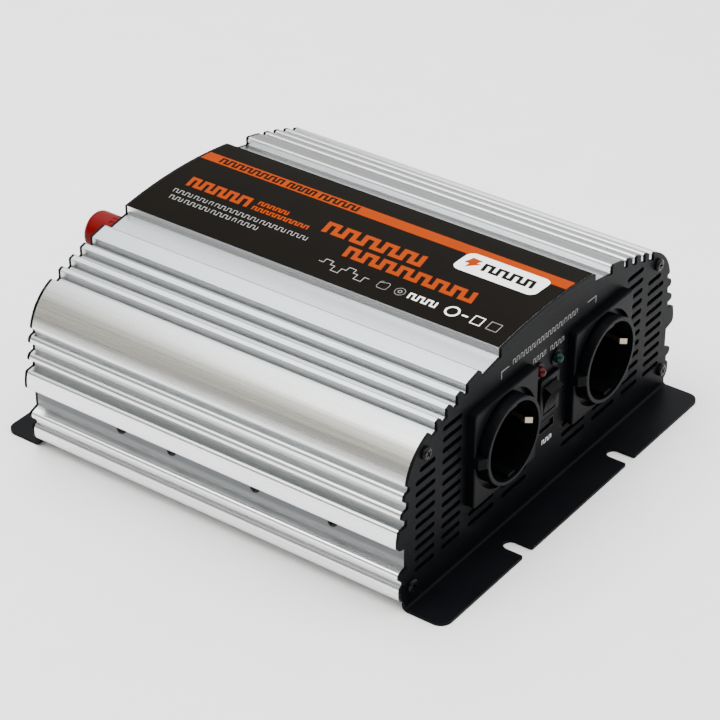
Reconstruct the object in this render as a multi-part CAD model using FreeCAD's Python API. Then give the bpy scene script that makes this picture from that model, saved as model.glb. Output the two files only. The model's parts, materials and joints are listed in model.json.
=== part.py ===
import FreeCAD, Part
import math
import os

V = FreeCAD.Vector
os.makedirs("parts", exist_ok=True)

# ---------------------------------------------------------------------------
# Power inverter.  Millimetres, +Z up, sockets face -Y, extrusions run along Y,
# X to the right as seen from the socket side.  z = 0 is the underside of the
# mounting flanges.  The origin is the bottom centre of the whole part.
# ---------------------------------------------------------------------------

# Housing extrusions
BODY_LENGTH = 212.5      # length of both extrusions
ARCH_RADIUS = 263.0      # the top is one shallow arch
ARCH_CROWN = 102.0       # height of the arch at the middle
PLATEAU_HALF = 38.7      # half width of the raised label plateau
SHELF_DROP = 4.3         # step from plateau down to the shelf
NOTCH_DROP = 4.0         # depth of the notches between the top fins
WALL_DROP = 6.9          # arch to inner ceiling
TOP_FINS = [(53.8, 64.2), (67.6, 71.9), (75.9, 79.8), (84.0, 87.4)]
FIN_INNER_R = 1.6        # rounding of the fin corners, inner and outer
FIN_OUTER_R = 0.3
SPLIT_Z = 15.6           # joint between upper shell and base tray
BASE_Z = 4.8             # underside of the base tray
BASE_TOP = 6.6           # upper face of the tray floor
INNER_SIDE = 106.4       # inner face of the side wall
RAIL_REACH = 102.9       # tips of the board rails
BOARD_Z = 20.8           # underside of the main board
BOARD_T = 1.6

# End plates
PLATE_T = 1.5            # sheet thickness
FLANGE = 21.0            # flange reach beyond the plate
FLANGE_HALF = 110.5      # half width of the flange
BEND_IN = 1.5            # inner bend radius
FLANGE_CORNER = 6.0
SLOT_X = 44.4            # open flange slots
SLOT_R = 3.6
SLOT_BACK = 9.0          # slot end centre to flange edge
SLOT_MOUTH_R = 1.0
UPPER_SCREW = (96.3, 76.8)
LOWER_SCREW = (105.7, 12.2)
SCREW_R = 1.45
PILOT_R = 1.5
HEAD_R = 3.1
HEAD_H = 2.0

# Louvres
LOUVRE_Z = 17.8
LOUVRE_PITCH = 5.75
LOUVRE_H = 2.6

# Sockets
SOCKET_X = 40.6          # half the spacing of the two sockets
SOCKET_MID = 1.35        # middle between them
SOCKET_Z = 54.2
BLOCK = 50.0             # square base block
BLOCK_OUT = 4.3          # block stands out of the plate
COLLAR_OUT = 8.8         # collar rim stands out of the plate
EAR_OUT = 6.2            # outer end of the side ears
COLLAR_R = 21.3
WELL_R = 19.4
WELL_DEPTH = 17.5
PIN_SPACING = 19.0

# Rocker switch
SWITCH_Z = 54.4          # rocker pivot and middle of the bezel opening
BEZEL_RISE = 0.6         # bezel middle above the pivot
BEZEL_W = 16.0
BEZEL_H = 21.4
BEZEL_T = 2.0
OPENING_W = 10.6
OPENING_H = 16.6
ROCKER_W = 9.9
ROCKER_TILT = 17.0       # each side of level
PIVOT_OUT = 0.6          # pivot in front of the plate face

# Indicator lamps and charging port
LED_X = 7.35             # half the spacing of the two lamps
LED_MID = -0.7           # middle between them
LED_Z = 71.6
USB_X = 1.1
USB_Z = 36.8
USB_W = 12.6
USB_H = 5.2

# Rear terminals and fans
POSITIVE = (-31.0, 73.6)  # x and z of the red terminal
NEGATIVE = (31.0, 61.6)   # the black one sits lower, hidden behind the housing
KNOB_R = 10.0
KNOB_END = 27.5          # knob end beyond the rear plate
STUD_R = 4.0
GROUND_Z = 44.0
FAN_X = 68.0
FAN_Z = 44.0
FAN_SIZE = 50.0
FAN_DEPTH = 15.0
FAN_HOLES = 40.0
ROTOR_R = 22.8

# Side clamp screws, measured from the front face
CLAMP_Y = [39.4, 82.6, 131.1, 161.2]
CLAMP_Z = 31.3

HALF = BODY_LENGTH / 2
FRONT = -HALF - PLATE_T
REAR = HALF + PLATE_T
ORIGIN_SHIFT = (FLANGE - KNOB_END) / 2


# ---------------------------------------------------------------------------
# Helpers
# ---------------------------------------------------------------------------
def save(name, shape):
    out = shape.copy()
    out.translate(V(0, ORIGIN_SHIFT, 0))
    out.exportStep("parts/" + name + ".step")


def box(x0, x1, y0, y1, z0, z1):
    return Part.makeBox(x1 - x0, y1 - y0, z1 - z0, V(x0, y0, z0))


def rod_x(y, z, r, x0, x1):
    return Part.makeCylinder(r, x1 - x0, V(x0, y, z), V(1, 0, 0))


def rod_y(x, z, r, y0, y1):
    return Part.makeCylinder(r, y1 - y0, V(x, y0, z), V(0, 1, 0))


def rod_z(x, y, r, z0, z1):
    return Part.makeCylinder(r, z1 - z0, V(x, y, z0), V(0, 0, 1))


def tube_y(x, z, r_in, r_out, y0, y1):
    return rod_y(x, z, r_out, y0, y1).cut(rod_y(x, z, r_in, y0 - 1, y1 + 1))


def moved(shape, x, y, z):
    out = shape.copy()
    out.translate(V(x, y, z))
    return out


def turned(shape, angle, axis, centre=V(0, 0, 0)):
    out = shape.copy()
    out.rotate(centre, axis, angle)
    return out


def mirrored(shape):
    return shape.mirror(V(0, 0, 0), V(1, 0, 0))


def both_sides(shape):
    return shape.fuse(mirrored(shape)).removeSplitter()


def pair(shape):
    return Part.makeCompound([shape, mirrored(shape)])


def path_wire(start, steps):
    """Closed wire in the XZ plane: a step is (x, z) or an arc (mid x, mid z, x, z)."""
    edges = []
    here = V(start[0], 0, start[1])
    first = here
    for step in steps:
        end = V(step[-2], 0, step[-1])
        if len(step) == 2:
            edges.append(Part.makeLine(here, end))
        else:
            edges.append(Part.Arc(here, V(step[0], 0, step[1]), end).toShape())
        here = end
    if here.distanceToPoint(first) > 1e-6:
        edges.append(Part.makeLine(here, first))
    return Part.Wire(edges)


def prism_y(start, steps, y0, y1):
    face = Part.Face(path_wire(start, steps))
    face.translate(V(0, y0, 0))
    return face.extrude(V(0, y1 - y0, 0))


def prism_x(start, steps, x0, x1):
    """The path is read as (y, z) and extruded along X."""
    return turned(prism_y(start, steps, -x1, -x0), 90, V(0, 0, 1))


def revolved_y(start, steps):
    """The path is read as (radius, y) and turned about the Y axis."""
    face = Part.Face(path_wire(start, steps))
    face.rotate(V(0, 0, 0), V(1, 0, 0), -90)
    return face.revolve(V(0, 0, 0), V(0, 1, 0), 360)


def slot_y(x0, x1, z, height, y0, y1):
    r = height / 2
    start = (x0 + r, z - r)
    steps = [(x1 - r, z - r), (x1, z, x1 - r, z + r), (x0 + r, z + r), (x0, z, x0 + r, z - r)]
    return prism_y(start, steps, y0, y1)


def hex_y(x, z, flats, y0, y1):
    r = flats / math.sqrt(3)
    points = []
    for k in range(7):
        a = math.radians(60 * k)
        points.append((x + r * math.cos(a), z + r * math.sin(a)))
    return prism_y(points[0], points[1:], y0, y1)


def rounded_block_y(w, h, r, y0, y1):
    """Block centred on the Y axis with corners rounded about Y."""
    a = w / 2
    b = h / 2
    k = r * (1 - math.sqrt(0.5))
    start = (-a + r, -b)
    steps = [
        (a - r, -b), (a - k, -b + k, a, -b + r),
        (a, b - r), (a - k, b - k, a - r, b),
        (-a + r, b), (-a + k, b - k, -a, b - r),
        (-a, -b + r), (-a + k, -b + k, -a + r, -b),
    ]
    return prism_y(start, steps, y0, y1)


# ---------------------------------------------------------------------------
# Housing profile, right half
# ---------------------------------------------------------------------------
def arch(x, drop=0.0):
    r = ARCH_RADIUS - drop
    return math.sqrt(r * r - x * x) + ARCH_CROWN - ARCH_RADIUS


def fin_steps(x0, x1, r0, r1):
    return [
        (x0, arch(x0, r0)),
        (x0 + 0.3 * r0, arch(x0 + 0.3 * r0, 0.3 * r0), x0 + r0, arch(x0 + r0)),
        (x1 - r1, arch(x1 - r1)),
        (x1 - 0.3 * r1, arch(x1 - 0.3 * r1, 0.3 * r1), x1, arch(x1, r1)),
    ]


def upper_outline():
    """From the crown round the outside to the split line."""
    mid = PLATEAU_HALF / 2
    steps = [(mid, arch(mid), PLATEAU_HALF, arch(PLATEAU_HALF))]
    steps.append((PLATEAU_HALF, arch(PLATEAU_HALF, SHELF_DROP)))
    first = TOP_FINS[0][0]
    steps.append((46.0, arch(46.0, SHELF_DROP), first, arch(first, SHELF_DROP)))
    for number, (x0, x1) in enumerate(TOP_FINS):
        if number > 0:
            steps.append((x0, arch(x0, NOTCH_DROP)))
        steps += fin_steps(x0, x1, FIN_INNER_R, FIN_OUTER_R)
        steps.append((x1, arch(x1, NOTCH_DROP)))
    # last notch and the large rounded shoulder
    steps.append((92.0, arch(92.0, NOTCH_DROP)))
    steps.append((92.1, arch(92.1, 1.1)))
    steps.append((92.9, arch(92.9, 0.15)))
    steps.append((103.0, 78.2, 108.9, 67.5))
    steps.append((109.0, 66.0))
    steps.append((107.2, 65.5))
    # two small side fins
    steps += [(107.3, 63.1), (109.6, 62.5), (110.6, 61.6, 111.0, 60.2), (110.8, 58.9, 110.0, 58.4)]
    steps += [(107.9, 58.0), (108.3, 54.2), (111.0, 53.6), (112.1, 52.6, 112.5, 51.4)]
    steps += [(112.2, 50.2, 111.4, 49.7), (109.0, 49.3), (109.3, 45.8)]
    # wide side fin and the recess below it
    steps += [(113.2, 45.4), (114.4, 44.7, 114.8, 43.4), (115.4, 40.6, 115.5, 37.8)]
    steps += [(115.2, 36.1, 114.0, 35.3), (109.2, 33.9), (109.2, 23.2)]
    # lower fin of the upper shell
    steps += [(112.6, 22.0), (113.8, 21.3, 114.2, 20.0), (114.0, 18.8, 113.2, 18.0), (111.2, 17.2)]
    steps.append((111.2, SPLIT_Z))
    return steps


def tray_outline():
    """From the split line round the outside to the middle of the underside."""
    return [
        (111.2, 14.3), (112.2, 14.0), (113.1, 12.6, 113.2, 10.4),
        (112.5, 6.7, 110.4, BASE_Z), (0, BASE_Z),
    ]


def upper_shell():
    steps = upper_outline()
    steps.append((INNER_SIDE, SPLIT_Z))
    low = BOARD_Z - 1.5
    high = BOARD_Z + BOARD_T + 0.2
    for z in (low, high):
        steps += [(INNER_SIDE, z), (RAIL_REACH, z), (RAIL_REACH, z + 1.5), (INNER_SIDE, z + 1.5)]
    steps += [(INNER_SIDE, 45.0), (105.0, 63.0), (101.3, 74.6, 90.0, arch(90.0, WALL_DROP))]
    steps.append((45.0, arch(45.0, WALL_DROP), 0, arch(0, WALL_DROP)))
    half = prism_y((0, ARCH_CROWN), steps, -HALF, HALF)
    half = half.fuse(rod_y(UPPER_SCREW[0], UPPER_SCREW[1], 3.8, -HALF, HALF))
    for y in (-HALF, HALF - 16):
        half = half.cut(rod_y(UPPER_SCREW[0], UPPER_SCREW[1], PILOT_R, y, y + 16))
    for y in CLAMP_Y:
        half = half.cut(rod_x(FRONT + y, CLAMP_Z, 1.7, 100, 112))
    return both_sides(half)


def base_tray():
    steps = [
        (110.4, BASE_Z), (112.5, 6.7, 113.2, 10.4), (113.1, 12.6, 112.2, 14.0),
        (111.2, 14.3), (111.2, SPLIT_Z), (106.3, SPLIT_Z), (106.3, 18.8), (104.5, 18.8),
        (104.5, 15.2), (102.0, 15.2), (102.0, BASE_TOP), (0, BASE_TOP),
    ]
    half = prism_y((0, BASE_Z), steps, -HALF, HALF)
    for y in (-HALF, HALF - 16):
        half = half.cut(rod_y(LOWER_SCREW[0], LOWER_SCREW[1], PILOT_R, y, y + 16))
    return both_sides(half)


# ---------------------------------------------------------------------------
# End plates.  Local frame: y = 0 is the outer face, outward is -Y.
# ---------------------------------------------------------------------------
def flange_sheet():
    a = FLANGE_HALF
    r = FLANGE_CORNER
    k = r * (1 - math.sqrt(0.5))
    edge = -FLANGE
    bend = -BEND_IN
    outline = [
        V(-a, bend, 0), V(-a, edge + r, 0), V(-a + k, edge + k, 0), V(-a + r, edge, 0),
        V(a - r, edge, 0), V(a - k, edge + k, 0), V(a, edge + r, 0), V(a, bend, 0),
    ]
    edges = [
        Part.makeLine(outline[0], outline[1]),
        Part.Arc(outline[1], outline[2], outline[3]).toShape(),
        Part.makeLine(outline[3], outline[4]),
        Part.Arc(outline[4], outline[5], outline[6]).toShape(),
        Part.makeLine(outline[6], outline[7]),
        Part.makeLine(outline[7], outline[0]),
    ]
    sheet = Part.Face(Part.Wire(edges)).extrude(V(0, 0, PLATE_T))
    end = edge + SLOT_BACK
    m = SLOT_MOUTH_R
    for x in (-SLOT_X, SLOT_X):
        sheet = sheet.cut(rod_z(x, end, SLOT_R, -1, 3))
        sheet = sheet.cut(box(x - SLOT_R, x + SLOT_R, edge - 1, end, -1, 3))
        for side in (-1, 1):
            lip = x + side * SLOT_R
            low = min(lip, lip + side * m)
            corner = box(low, low + m, edge - 1, edge + m, -1, 3)
            corner = corner.cut(rod_z(lip + side * m, edge + m, m, -2, 4))
            sheet = sheet.cut(corner)
    return sheet


def plate_blank():
    steps = upper_outline() + tray_outline()
    half = prism_y((0, ARCH_CROWN), steps, 0, PLATE_T)
    blank = both_sides(half)
    outer = BEND_IN + PLATE_T
    ko = outer * (1 - math.sqrt(0.5))
    ki = BEND_IN * (1 - math.sqrt(0.5))
    start = (0, BASE_Z + 1)
    steps = [
        (0, outer), (-ki, PLATE_T + ki, -BEND_IN, PLATE_T),
        (-BEND_IN, 0), (PLATE_T - ko, ko, PLATE_T, outer), (PLATE_T, BASE_Z + 1),
    ]
    bend = prism_x(start, steps, -FLANGE_HALF, FLANGE_HALF)
    blank = blank.fuse([bend, flange_sheet()]).removeSplitter()
    for x, z in (UPPER_SCREW, LOWER_SCREW):
        for side in (-1, 1):
            blank = blank.cut(rod_y(side * x, z, 1.65, -1, 3))
    return blank


def louvre_cutters():
    cutters = []
    for row in range(12):
        z = LOUVRE_Z + LOUVRE_PITCH * row
        spans = [(68.5, 83.0)]
        if row < 9:
            spans.append((88.3, 103.0))
        if row == 9:
            spans.append((88.3, 100.2))
        if row < 3:
            spans += [(14.9, 35.3), (41.7, 62.0)]
        for x0, x1 in spans:
            cutters.append(slot_y(x0, x1, z, LOUVRE_H, -1, 3))
            cutters.append(slot_y(-x1, -x0, z, LOUVRE_H, -1, 3))
    return cutters


def front_plate():
    plate = plate_blank().cut(louvre_cutters())
    for x in (SOCKET_MID - SOCKET_X, SOCKET_MID + SOCKET_X):
        plate = plate.cut(rod_y(x, SOCKET_Z, COLLAR_R + 0.4, -1, 3))
        for side in (-1, 1):
            edge = x + side * COLLAR_R
            low = min(edge - side, edge + side * 2.4)
            plate = plate.cut(box(low, low + 3.4, -1, 3, SOCKET_Z - 2.9, SOCKET_Z + 2.9))
    c = OPENING_H / 2 + 1.2
    plate = plate.cut(box(-6.7, 6.7, -1, 3, SWITCH_Z - c, SWITCH_Z + c))
    a = USB_W / 2 + 0.15
    b = USB_H / 2 + 0.15
    plate = plate.cut(box(USB_X - a, USB_X + a, -1, 3, USB_Z - b, USB_Z + b))
    for x in (LED_MID - LED_X, LED_MID + LED_X):
        plate = plate.cut(rod_y(x, LED_Z, 3.3, -1, 3))
    return moved(plate, 0, FRONT, 0)


def rear_plate():
    plate = plate_blank()
    for x in (-FAN_X, FAN_X):
        plate = plate.cut(rod_y(x, FAN_Z, ROTOR_R + 0.5, -1, 3))
        for dx in (-FAN_HOLES / 2, FAN_HOLES / 2):
            for dz in (-FAN_HOLES / 2, FAN_HOLES / 2):
                plate = plate.cut(rod_y(x + dx, FAN_Z + dz, 1.9, -1, 3))
    for x, z in (POSITIVE, NEGATIVE):
        plate = plate.cut(rod_y(-x, z, 6.0, -1, 3))
    plate = plate.cut(rod_y(0, GROUND_Z, 2.6, -1, 3))
    for row in range(4):
        z = LOUVRE_Z + LOUVRE_PITCH * row
        plate = plate.cut(slot_y(10, 34, z, LOUVRE_H, -1, 3))
        plate = plate.cut(slot_y(-34, -10, z, LOUVRE_H, -1, 3))
    plate = turned(plate, 180, V(0, 0, 1))
    return moved(plate, 0, REAR, 0)


def pan_screw(head_r, head_h, shank_r, length):
    """Pan head cross-recess screw, head towards -Y, seat at y = 0."""
    k = head_h * 0.45
    steps = [
        (head_r, 0), (head_r, -head_h + k * 1.3),
        (head_r * 0.9, -head_h + k * 0.35, head_r * 0.6, -head_h),
        (0, -head_h),
    ]
    head = revolved_y((0, 0), steps)
    screw = head.fuse(rod_y(0, 0, shank_r, -0.01, length))
    w = head_r * 0.13
    reach = head_r * 0.55
    deep = -head_h + 1.1
    screw = screw.cut(box(-w, w, -head_h - 1, deep, -reach, reach))
    return screw.cut(box(-reach, reach, -head_h - 1, deep, -w, w))


def plate_screws():
    one = pan_screw(HEAD_R, HEAD_H, SCREW_R, 12.0)
    screws = []
    for n, (x, z) in enumerate((UPPER_SCREW, LOWER_SCREW)):
        screws.append(moved(turned(one, 20 + 35 * n, V(0, 1, 0)), x, FRONT, z))
        screws.append(moved(turned(one, 65 - 25 * n, V(0, 1, 0)), -x, FRONT, z))
    return Part.makeCompound(screws)


# ---------------------------------------------------------------------------
# Label film on the plateau
# ---------------------------------------------------------------------------
def top_label():
    a = PLATEAU_HALF - 0.3
    t = 0.25
    start = (-a, arch(a))
    steps = [(0, ARCH_CROWN, a, arch(a)), (a, arch(a, -t)), (0, ARCH_CROWN + t, -a, arch(a, -t))]
    return prism_y(start, steps, -HALF + 0.2, HALF - 0.2)


# ---------------------------------------------------------------------------
# Mains sockets.  Local frame: centre of the well, y = 0 is the plate face.
# ---------------------------------------------------------------------------
def socket_body():
    floor = -COLLAR_OUT + WELL_DEPTH
    body = rounded_block_y(BLOCK, BLOCK, 1.6, -BLOCK_OUT, 0)
    front_edges = []
    for edge in body.Edges:
        box_e = edge.BoundBox
        if box_e.YMin < -BLOCK_OUT + 0.01 and box_e.YMax < -BLOCK_OUT + 0.01:
            front_edges.append(edge)
    body = body.makeFillet(0.7, front_edges)
    body = body.cut(rod_y(0, 0, 24.1, -BLOCK_OUT - 1, -BLOCK_OUT + 3.0))
    collar = revolved_y((0, -COLLAR_OUT + 0.4), [
        (0, floor + 2.0), (COLLAR_R, floor + 2.0), (COLLAR_R, -COLLAR_OUT + 0.4),
        (COLLAR_R - 0.12, -COLLAR_OUT + 0.12, COLLAR_R - 0.4, -COLLAR_OUT), (0, -COLLAR_OUT),
    ])
    body = body.fuse(collar)
    # earth spring housings at mid height, left and right, ramps from the rim to the block edge
    half = BLOCK / 2
    for side in (-1, 1):
        ear = Part.Face(Part.makePolygon([
            V(20.5, 0, -2.65), V(half, 0, -2.65), V(half, -EAR_OUT, -2.65), V(21.6, -COLLAR_OUT + 0.2, -2.65),
            V(20.5, -COLLAR_OUT + 0.2, -2.65), V(20.5, 0, -2.65),
        ])).extrude(V(0, 0, 5.3))
        if side < 0:
            ear = mirrored(ear)
        body = body.fuse(ear)
    carrier = box(-6.5, 6.5, floor + 1.5, floor + 14, -17, 17)
    body = body.fuse(carrier).removeSplitter()
    well = rod_y(0, 0, WELL_R, -COLLAR_OUT - 1, floor)
    # keys at the top and bottom of the well
    for side in (-1, 1):
        low = min(side * 17.2, side * 21)
        well = well.cut(box(-2.7, 2.7, -COLLAR_OUT + 1.2, floor + 1, low, low + 3.8))
    body = body.cut(well)
    for side in (-1, 1):
        z = side * PIN_SPACING / 2
        body = body.cut(rod_y(0, z, 2.75, floor - 1, floor + 3))
        body = body.cut(rod_y(0, z, 3.75, floor + 2.5, floor + 15))
        low = min(side * 17.8, side * 19.2)
        body = body.cut(box(low, low + 1.4, floor - 1, floor + 3, -2.2, 2.2))
    return body


def earth_clips():
    floor = -COLLAR_OUT + WELL_DEPTH
    t = 0.7
    rim = -COLLAR_OUT
    outline = [
        V(18.6, rim + 2.7, 0), V(16.7, rim + 5.5, 0), V(16.7, rim + 6.7, 0), V(18.2, rim + 12.0, 0),
        V(18.2, floor + 7, 0), V(18.2 + t, floor + 7, 0), V(18.2 + t, rim + 11.9, 0), V(16.7 + t, rim + 6.6, 0),
        V(16.7 + t, rim + 5.8, 0), V(18.6 + 0.5, rim + 3.2, 0), V(18.6, rim + 2.7, 0),
    ]
    clip = Part.Face(Part.makePolygon(outline)).extrude(V(0, 0, 3.0))
    return pair(moved(clip, 0, 0, -1.5))


def socket_contacts():
    floor = -COLLAR_OUT + WELL_DEPTH
    contacts = []
    for side in (-1, 1):
        z = side * PIN_SPACING / 2
        sleeve = tube_y(0, z, 2.45, 3.6, floor + 3, floor + 14)
        base = rod_y(0, z, 3.6, floor + 14, floor + 15.5)
        blade = box(-0.4, 0.4, floor + 15.4, floor + 24, z - 2.4, z + 2.4)
        contacts.append(sleeve.fuse([base, blade]).removeSplitter())
    return Part.makeCompound(contacts)


# ---------------------------------------------------------------------------
# Rocker switch.  Local frame: centre of the bezel, y = 0 is the plate face.
# ---------------------------------------------------------------------------
def switch_case():
    bezel = rounded_block_y(BEZEL_W, BEZEL_H, 1.2, -BEZEL_T, 0)
    front_edges = []
    for edge in bezel.Edges:
        box_e = edge.BoundBox
        if box_e.YMax < -BEZEL_T + 0.01:
            front_edges.append(edge)
    bezel = moved(bezel.makeFillet(0.5, front_edges), 0, 0, BEZEL_RISE)
    c = OPENING_H / 2
    case = bezel.fuse(box(-6.5, 6.5, -0.5, 19, -c - 1, c + 1)).removeSplitter()
    case = case.cut(box(-OPENING_W / 2, OPENING_W / 2, -BEZEL_T - 1, 9, -c, c))
    case = case.cut(rod_x(-PIVOT_OUT, 0, 0.95, -6.2, 6.2))
    for z in (-6.5, 0, 6.5):
        case = case.cut(box(-3.2, 3.2, 15, 20, z - 0.45, z + 0.45))
    return case


def switch_rocker():
    """Level position: both halves of the face rise from a shallow middle valley."""
    w = ROCKER_W / 2
    start = (-4.1, 6.5)
    steps = [(-3.25, 0, -4.1, -6.5), (0.15, -7.05), (4.5, -5.7), (4.5, 5.7), (0.15, 7.05)]
    rocker = prism_x(start, steps, -w, w)
    rocker = rocker.fuse(rod_x(-PIVOT_OUT, 0, 0.9, -6.0, 6.0)).removeSplitter()
    return turned(rocker, ROCKER_TILT, V(1, 0, 0), V(0, -PIVOT_OUT, 0))


def switch_terminals():
    blades = []
    for z in (-6.5, 0, 6.5):
        blades.append(box(-3.1, 3.1, 15.2, 27, z - 0.4, z + 0.4))
    return Part.makeCompound(blades)


# ---------------------------------------------------------------------------
# Charging port and indicator lamps.  Local frame as above.
# ---------------------------------------------------------------------------
def usb_shell():
    outer = rounded_block_y(USB_W, USB_H, 0.6, 0, 14)
    inner = rounded_block_y(USB_W - 0.6, USB_H - 0.6, 0.4, -1, 13.4)
    return outer.cut(inner)


def usb_tongue():
    tongue = box(-5.3, 5.3, 1.4, 13.4, -1.9, -0.1)
    for x in (-3.5, -1.2, 1.2, 3.5):
        tongue = tongue.fuse(box(x - 0.5, x + 0.5, 2.2, 10, -0.1, 0.1))
    return tongue


def led_holder():
    flange = rod_y(0, 0, 4.0, -0.9, 0).fuse(rod_y(0, 0, 3.2, -0.1, 4.5))
    return flange.cut(rod_y(0, 0, 2.6, -2, 6)).removeSplitter()


def led_lamp():
    lamp = rod_y(0, 0, 2.5, -1.6, 4.6).fuse(Part.makeSphere(2.5, V(0, -1.6, 0)))
    lamp = lamp.fuse(rod_y(0, 0, 2.9, 4.6, 5.6))
    for x in (-1.27, 1.27):
        lamp = lamp.fuse(rod_y(x, 0, 0.3, 5.4, 14))
    return lamp


# ---------------------------------------------------------------------------
# Battery terminals.  Local frame: stud axis, y = 0 is the rear plate face.
# ---------------------------------------------------------------------------
def terminal_base():
    steps = [
        (5.8, -4.0), (5.8, 0), (10.5, 0), (10.5, 3.4), (10.3, 3.8, 9.9, 4.0), (0, 4.0),
    ]
    return revolved_y((0, -4.0), steps).cut(rod_y(0, 0, STUD_R + 0.05, -5, 5))


def terminal_stud():
    return rod_y(0, 0, STUD_R, -16, 22)


def terminal_nut():
    return hex_y(0, 0, 12.8, -12.0, -5.6).cut(rod_y(0, 0, STUD_R + 0.05, -13, -5))


def terminal_collar():
    return tube_y(0, 0, STUD_R + 0.3, 8.2, 4.3, 5.5)


def terminal_knob():
    y0 = 5.8
    steps = [
        (KNOB_R, y0), (KNOB_R, KNOB_END - 3.0),
        (KNOB_R - 0.88, KNOB_END - 0.88, KNOB_R - 3.0, KNOB_END), (0, KNOB_END),
    ]
    knob = revolved_y((0, y0), steps)
    flutes = []
    for k in range(20):
        a = math.radians(18 * k)
        r = KNOB_R + 0.45
        flutes.append(rod_y(r * math.cos(a), r * math.sin(a), 0.9, y0 - 1, y0 + 9))
    knob = knob.cut(flutes)
    return knob.cut(rod_y(0, 0, STUD_R + 0.06, y0 - 1, KNOB_END - 3.5))


def bus_bar(z):
    low = BOARD_Z + BOARD_T - z
    upright = box(-6.5, 6.5, -5.6, -4.1, low, 8.5)
    foot = box(-6.5, 6.5, -36, -4.1, low, low + 1.5)
    bar = upright.fuse(foot).removeSplitter()
    return bar.cut(rod_y(0, 0, STUD_R + 0.1, -8, 0))


def ground_stud():
    return rod_y(0, 0, 2.5, -8, 16).fuse(hex_y(0, 0, 8, -5.5, -1.6)).removeSplitter()


def ground_washer():
    return tube_y(0, 0, 2.8, 6.0, 0.3, 1.3)


def wing_nut():
    hub = revolved_y((0, 1.6), [(5.0, 1.6), (3.9, 7.6), (0, 7.6)])
    wing = prism_y((2.5, -2.2), [(6.5, -2.4), (11.0, 1.2), (12.0, 5.4, 9.5, 6.4), (6.2, 3.4), (2.5, 2.2)], 3.0, 5.0)
    nut = hub
    for angle in (0, 180):
        piece = turned(wing, -90, V(1, 0, 0), V(0, 4.0, 0))
        piece = turned(piece, angle, V(0, 1, 0))
        nut = nut.fuse(piece)
    return nut.removeSplitter().cut(rod_y(0, 0, 2.56, 0, 12))


# ---------------------------------------------------------------------------
# Cooling fans.  Local frame: fan axis, y = 0 is the inner face of the rear plate.
# ---------------------------------------------------------------------------
def fan_frame():
    frame = rounded_block_y(FAN_SIZE, FAN_SIZE, 3.0, -FAN_DEPTH, 0)
    frame = frame.cut(rod_y(0, 0, ROTOR_R + 0.5, -FAN_DEPTH - 1, 1))
    h = FAN_HOLES / 2
    for x in (-h, h):
        for z in (-h, h):
            frame = frame.cut(rod_y(x, z, 1.9, -FAN_DEPTH - 1, 1))
    frame = frame.fuse(rod_y(0, 0, 12.0, -FAN_DEPTH, -FAN_DEPTH + 2.5))
    for angle in (30, 150, 270):
        strut = box(11, 24, -FAN_DEPTH, -FAN_DEPTH + 2.0, -1.5, 1.5)
        frame = frame.fuse(turned(strut, angle, V(0, 1, 0)))
    frame = frame.fuse(rod_y(0, 0, 1.5, -FAN_DEPTH + 2, -4))
    return frame.removeSplitter()


def fan_rotor():
    y0 = -FAN_DEPTH + 3.0
    y1 = -1.2
    hub = revolved_y((0, y0), [(11.5, y0), (11.5, y1 - 1.0), (10.5, y1), (0, y1)])
    blades = []
    for k in range(7):
        blade = box(9.5, 24.0, -0.6, 0.6, -5.6, 5.6)
        blade = turned(blade, 52, V(1, 0, 0))
        blade = moved(blade, 0, (y0 + y1) / 2, 0)
        blades.append(turned(blade, k * 360.0 / 7, V(0, 1, 0)))
    rotor = hub.fuse(blades)
    rotor = rotor.common(rod_y(0, 0, ROTOR_R, y0, y1))
    return rotor.cut(rod_y(0, 0, 1.58, y0 - 1, -3.6)).removeSplitter()


def fan_guard():
    """Wire finger guard on the outer face of the rear plate."""
    w = 0.8
    y = PLATE_T + w
    rings = []
    for r in (6.0, 12.0, 18.0, 24.0):
        rings.append(Part.makeTorus(r, w, V(0, y + 1.0, 0), V(0, 1, 0)))
    arms = []
    h = FAN_HOLES / 2
    reach = math.hypot(h, h)
    for angle in (45, 135, 225, 315):
        a = math.radians(angle)
        arm = Part.makeCylinder(w, reach - 2.9 - 5.5, V(5.5, y, 0), V(1, 0, 0))
        arms.append(turned(arm, angle, V(0, 1, 0)))
        eye = Part.makeTorus(2.9, w, V(reach * math.cos(a), y, reach * math.sin(a)), V(0, 1, 0))
        arms.append(eye)
    return rings[0].fuse(rings[1:] + arms)


def fan_screws():
    h = FAN_HOLES / 2
    one = pan_screw(3.4, 1.9, 1.6, 21.0)
    one = turned(one, 180, V(0, 0, 1))
    screws = []
    for x in (-h, h):
        for z in (-h, h):
            screws.append(moved(one, x, PLATE_T + 1.6, z))
            nut = hex_y(x, z, 5.5, -FAN_DEPTH - 2.4, -FAN_DEPTH)
            screws.append(nut.cut(rod_y(x, z, 1.65, -FAN_DEPTH - 3, 0)))
    return Part.makeCompound(screws)


# ---------------------------------------------------------------------------
# Electronics
# ---------------------------------------------------------------------------
BOARD_TOP = BOARD_Z + BOARD_T
BOARD_FRONT = FRONT + 14.0
BOARD_REAR = REAR - 27.0


TRANSISTOR_Y = [49, 61, 73, 93, 105, 117, 140.5, 152, 170, 181]
CAPACITOR_X = [9, 46, 64]
CORE_X = [-46, 0, 46]
CORE_Y = -8.0


def main_board():
    side = INNER_SIDE - 0.3
    board = box(-side, side, BOARD_FRONT, BOARD_REAR, BOARD_Z, BOARD_TOP)
    return board


def board_standoffs():
    posts = []
    for x in (-60, 0, 60):
        for y in (-70, 40):
            post = hex_y(0, 0, 6, 0, BOARD_Z - BASE_TOP)
            posts.append(moved(turned(post, 90, V(1, 0, 0)), x, y, BASE_TOP))
    return Part.makeCompound(posts)


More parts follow.
